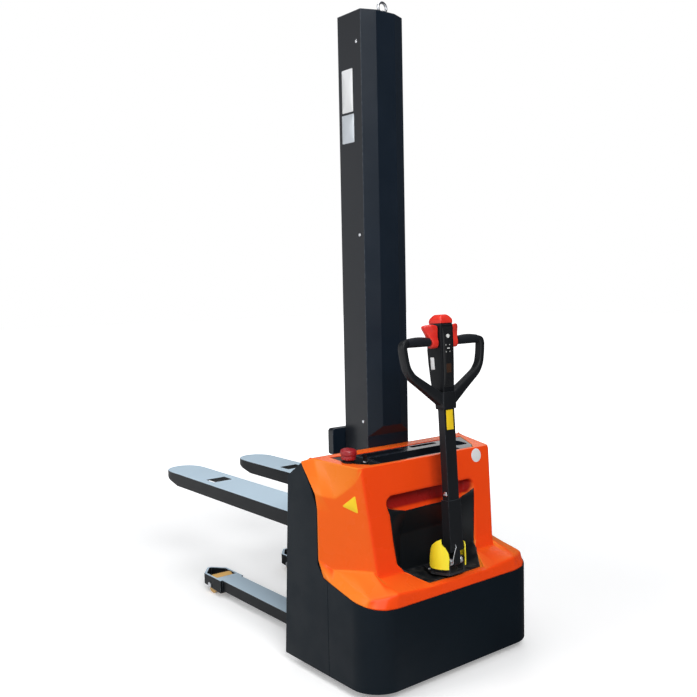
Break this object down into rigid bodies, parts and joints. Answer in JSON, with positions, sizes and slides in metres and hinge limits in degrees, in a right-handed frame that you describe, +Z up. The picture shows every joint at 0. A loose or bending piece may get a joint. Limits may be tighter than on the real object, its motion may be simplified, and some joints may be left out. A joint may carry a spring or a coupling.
{
  "type": "electric stacker",
  "caption": "Pedestrian electric stacker: tall covered mast with lifting forks, low support legs, faceted body with a foot recess, and a steering tiller with a loop handle.",
  "frame": {"origin": "middle of the footprint on the floor, under the wheels", "axes": "+Z up, +Y forward along the forks, +X to the right of an operator who stands behind the tiller"},
  "size_m": [0.8, 1.707, 2.379],
  "materials": {
    "hood_orange": "moulded orange shell, satin gloss",
    "body_black": "black powder coat",
    "mast_black": "black satin powder coat",
    "fork_black": "black satin paint, rubbed on the top",
    "liner_black": "grained black moulding",
    "tiller_black": "black satin powder coat",
    "grip_black": "fine-grained black moulding",
    "signal_red": "red moulding",
    "guard_yellow": "yellow moulding",
    "button_white": "white moulding",
    "roller_amber": "amber cast polyurethane",
    "tyre_grey": "dark cast polyurethane",
    "bright_steel": "zinc-plated steel",
    "rod_chrome": "hard chrome",
    "dark_iron": "dark casting",
    "chain_steel": "oiled chain steel",
    "pack_grey": "grey moulding",
    "motor_black": "dark paint"
  },
  "bodies": {
    "chassis": {"chassis_frame": "body_black", "side_plate_left": "body_black", "side_plate_right": "body_black", "rear_skirt": "body_black", "leg_left": "fork_black", "leg_right": "fork_black", "load_axles": "bright_steel", "mast_channel_left": "mast_black", "mast_channel_right": "mast_black", "mast_head": "mast_black", "mast_cover": "mast_black", "cover_screws": "bright_steel", "lifting_eye": "bright_steel", "lift_cylinder": "mast_black", "chain_anchor": "bright_steel", "hood": "hood_orange", "recess_panel": "liner_black", "storage_tray": "liner_black", "control_panel": "liner_black", "battery": "pack_grey", "pump_motor": "motor_black", "oil_tank": "pack_grey", "lift_pipe": "bright_steel", "motor_controller": "dark_iron", "steering_bearing": "bright_steel"},
    "drive_unit": {"gearbox": "dark_iron", "drive_motor": "motor_black", "tiller_mount": "tiller_black", "guard_left": "guard_yellow", "guard_right": "guard_yellow", "tiller_pin": "bright_steel"},
    "drive_wheel": {"drive_wheel_hub": "dark_iron", "drive_wheel_tyre": "tyre_grey"},
    "tiller": {"tiller_arm": "tiller_black", "tiller_socket": "tiller_black", "head_shell": "grip_black", "handle_frame": "grip_black", "return_spring": "bright_steel"},
    "throttle": {"throttle_left": "signal_red", "throttle_right": "signal_red"},
    "belly_switch": {"belly_button": "signal_red"},
    "horn": {"horn_button": "button_white"},
    "rocker": {"lift_rocker": "button_white"},
    "stop_switch": {"estop_button": "signal_red"},
    "key_switch": {"key": "bright_steel"},
    "castor_swivel_left": {"castor_fork_left": "bright_steel"},
    "castor_swivel_right": {"castor_fork_right": "bright_steel"},
    "castor_roll_left": {"castor_wheel_left": "tyre_grey"},
    "castor_roll_right": {"castor_wheel_right": "tyre_grey"},
    "load_roll_left": {"load_wheel_left": "roller_amber"},
    "load_roll_right": {"load_wheel_right": "roller_amber"},
    "crosshead": {"piston_rod": "rod_chrome", "chain_front": "chain_steel", "chain_rear": "chain_steel"},
    "sheave": {"chain_sheave": "bright_steel"},
    "carriage": {"carriage_frame": "mast_black", "fork_left": "fork_black", "fork_right": "fork_black"},
    "rollers_upper": {"upper_rollers": "bright_steel"},
    "rollers_lower": {"lower_rollers": "bright_steel"}
  },
  "joints": [
    {"name": "steer", "type": "hinge", "parent": "chassis", "child": "drive_unit", "pos_m": [0, -0.7415, 0.233], "axis": [0, 0, 1], "range_deg": [-75, 75]},
    {"name": "drive_spin", "type": "hinge", "parent": "drive_unit", "child": "drive_wheel", "pos_m": [0, -0.7415, 0.095], "axis": [1, 0, 0], "continuous": true},
    {"name": "tiller_tilt", "type": "hinge", "parent": "drive_unit", "child": "tiller", "pos_m": [0, -0.8225, 0.395], "axis": [1, 0, 0], "range_deg": [0, 84], "stiffness_Nm_per_rad": 26, "springref_deg": -20.05},
    {"name": "throttle_turn", "type": "hinge", "parent": "tiller", "child": "throttle", "pos_m": [0, -0.77785, 1.15769], "axis": [1, 0, 0], "range_deg": [-30, 30], "stiffness_Nm_per_rad": 0.6},
    {"name": "belly_press", "type": "slide", "parent": "tiller", "child": "belly_switch", "axis": [0, -0.0584, -0.9983], "range_m": [0, 0.004], "stiffness_N_per_m": 900, "springref_m": -0.003},
    {"name": "horn_press", "type": "slide", "parent": "tiller", "child": "horn", "axis": [0, 0.9983, -0.0584], "range_m": [0, 0.0025], "stiffness_N_per_m": 400, "springref_m": -0.001},
    {"name": "rocker_turn", "type": "hinge", "parent": "tiller", "child": "rocker", "pos_m": [0, -0.80322, 1.13514], "axis": [1, 0, 0], "range_deg": [-6, 6], "stiffness_Nm_per_rad": 0.1},
    {"name": "stop_press", "type": "slide", "parent": "chassis", "child": "stop_switch", "axis": [0, 0.0698, -0.9976], "range_m": [0, 0.006]},
    {"name": "key_turn", "type": "hinge", "parent": "chassis", "child": "key_switch", "pos_m": [-0.25, -0.64848, 0.74859], "axis": [0, -0.0698, 0.9976], "range_deg": [0, 90]},
    {"name": "crosshead_lift", "type": "slide", "parent": "chassis", "child": "crosshead", "axis": [0, 0, 1], "range_m": [-0.2065, 0.71], "deforming": ["chain_rear"]},
    {"name": "carriage_lift", "type": "slide", "parent": "crosshead", "child": "carriage", "axis": [0, 0, 1], "range_m": [-0.2065, 0.71], "deforming": ["chain_front"]},
    {"name": "sheave_spin", "type": "hinge", "parent": "crosshead", "child": "sheave", "pos_m": [0, -0.4235, 1.366], "axis": [1, 0, 0], "range_deg": [-300, 1015]},
    {"name": "upper_roller_spin", "type": "hinge", "parent": "carriage", "child": "rollers_upper", "pos_m": [0, -0.4035, 0.765], "axis": [1, 0, 0], "range_deg": [-2225, 650]},
    {"name": "lower_roller_spin", "type": "hinge", "parent": "carriage", "child": "rollers_lower", "pos_m": [0, -0.4035, 0.545], "axis": [1, 0, 0], "range_deg": [-650, 2225]},
    {"name": "castor_turn_left", "type": "hinge", "parent": "chassis", "child": "castor_swivel_left", "pos_m": [-0.29, -0.7035, 0.16], "axis": [0, 0, 1], "continuous": true},
    {"name": "castor_spin_left", "type": "hinge", "parent": "castor_swivel_left", "child": "castor_roll_left", "pos_m": [-0.29, -0.7335, 0.05], "axis": [1, 0, 0], "continuous": true},
    {"name": "load_spin_left", "type": "hinge", "parent": "chassis", "child": "load_roll_left", "pos_m": [-0.209, 0.4365, 0.04], "axis": [1, 0, 0], "continuous": true},
    {"name": "castor_turn_right", "type": "hinge", "parent": "chassis", "child": "castor_swivel_right", "pos_m": [0.29, -0.7035, 0.16], "axis": [0, 0, 1], "continuous": true},
    {"name": "castor_spin_right", "type": "hinge", "parent": "castor_swivel_right", "child": "castor_roll_right", "pos_m": [0.29, -0.7335, 0.05], "axis": [1, 0, 0], "continuous": true},
    {"name": "load_spin_right", "type": "hinge", "parent": "chassis", "child": "load_roll_right", "pos_m": [0.209, 0.4365, 0.04], "axis": [1, 0, 0], "continuous": true}
  ],
  "couplings": [
    {"joint": "carriage_lift", "follows": "crosshead_lift", "ratio": 1},
    {"joint": "sheave_spin", "follows": "crosshead_lift", "rad_per_m": 24.753},
    {"joint": "upper_roller_spin", "follows": "crosshead_lift", "rad_per_m": -54.496},
    {"joint": "lower_roller_spin", "follows": "crosshead_lift", "rad_per_m": 54.496}
  ]
}
